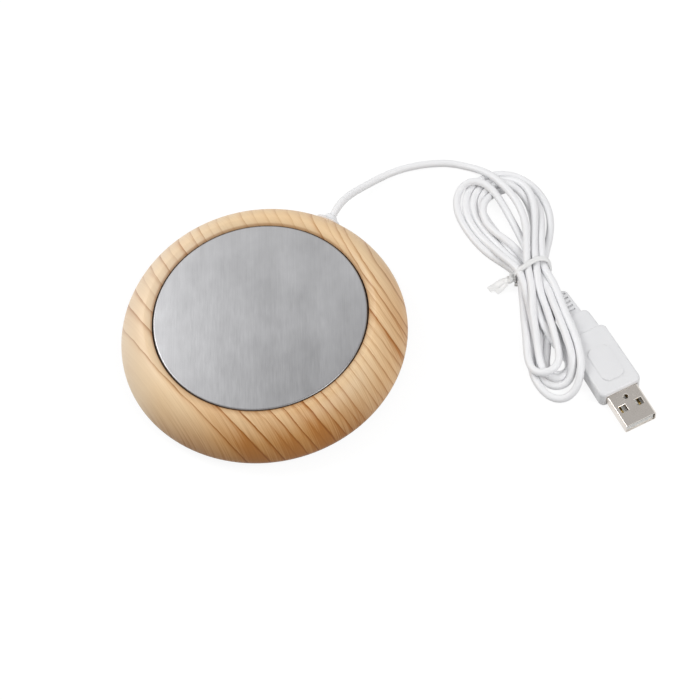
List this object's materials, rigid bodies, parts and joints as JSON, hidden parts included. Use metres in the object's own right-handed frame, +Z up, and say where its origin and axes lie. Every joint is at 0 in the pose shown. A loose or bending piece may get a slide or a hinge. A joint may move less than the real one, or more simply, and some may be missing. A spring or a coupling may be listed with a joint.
{
  "type": "electric mug warmer",
  "caption": "Low round mug warmer: a domed wood-look ring round a flush brushed steel hot plate, with a thin white cord folded in a tied hank and a flat USB plug.",
  "frame": {"origin": "bottom centre of the round body, on the table that its feet stand on", "axes": "+Z up out of the hot plate, +Y towards the cord outlet, +X to the right of it"},
  "size_m": [0.192, 0.1555, 0.0198],
  "materials": {
    "wood_ring": "satin wood-grain print",
    "steel_plate": "fine straight brushing",
    "base_plastic": "fine spark-eroded texture",
    "gasket_rubber": "matte",
    "foot_rubber": "matte",
    "film": "clear amber film",
    "track_metal": "etched foil",
    "solder": "bright solder",
    "cutout_case": "smooth",
    "pad_felt": "needled ceramic felt",
    "retainer_plastic": "moulded",
    "screw_steel": "zinc plated",
    "wire_red": "smooth",
    "wire_black": "smooth",
    "cord_white": "smooth soft vinyl",
    "grommet_white": "slightly clear soft vinyl",
    "tie_white": "smooth vinyl over wire",
    "plug_white": "satin moulded vinyl",
    "plug_steel": "nickel plated",
    "carrier_plastic": "smooth",
    "contact_gold": "gold flashed"
  },
  "bodies": {
    "root": {"ring_housing": "wood_ring", "base_cover": "base_plastic", "hot_plate": "steel_plate", "plate_gasket": "gasket_rubber", "heater_film": "film", "heater_track": "track_metal", "heater_backing": "film", "solder_tabs": "solder", "thermal_cutout": "cutout_case", "insulation_pad": "pad_felt", "heater_retainer": "retainer_plastic", "retainer_screws": "screw_steel", "red_wire": "wire_red", "black_wire": "wire_black", "link_wire": "wire_red", "cord_end": "cord_white", "cord_clamp": "retainer_plastic", "clamp_screws": "screw_steel", "cover_screws": "screw_steel", "foot_1": "foot_rubber", "foot_2": "foot_rubber", "foot_3": "foot_rubber", "foot_4": "foot_rubber", "grommet": "grommet_white", "cord_lead": "cord_white", "cord_hank": "cord_white", "cord_tail": "cord_white", "twist_tie": "tie_white", "plug_grip": "plug_white", "plug_shell": "plug_steel", "plug_carrier": "carrier_plastic", "plug_contact_1": "contact_gold", "plug_contact_2": "contact_gold", "plug_contact_3": "contact_gold", "plug_contact_4": "contact_gold"}
  },
  "joints": []
}
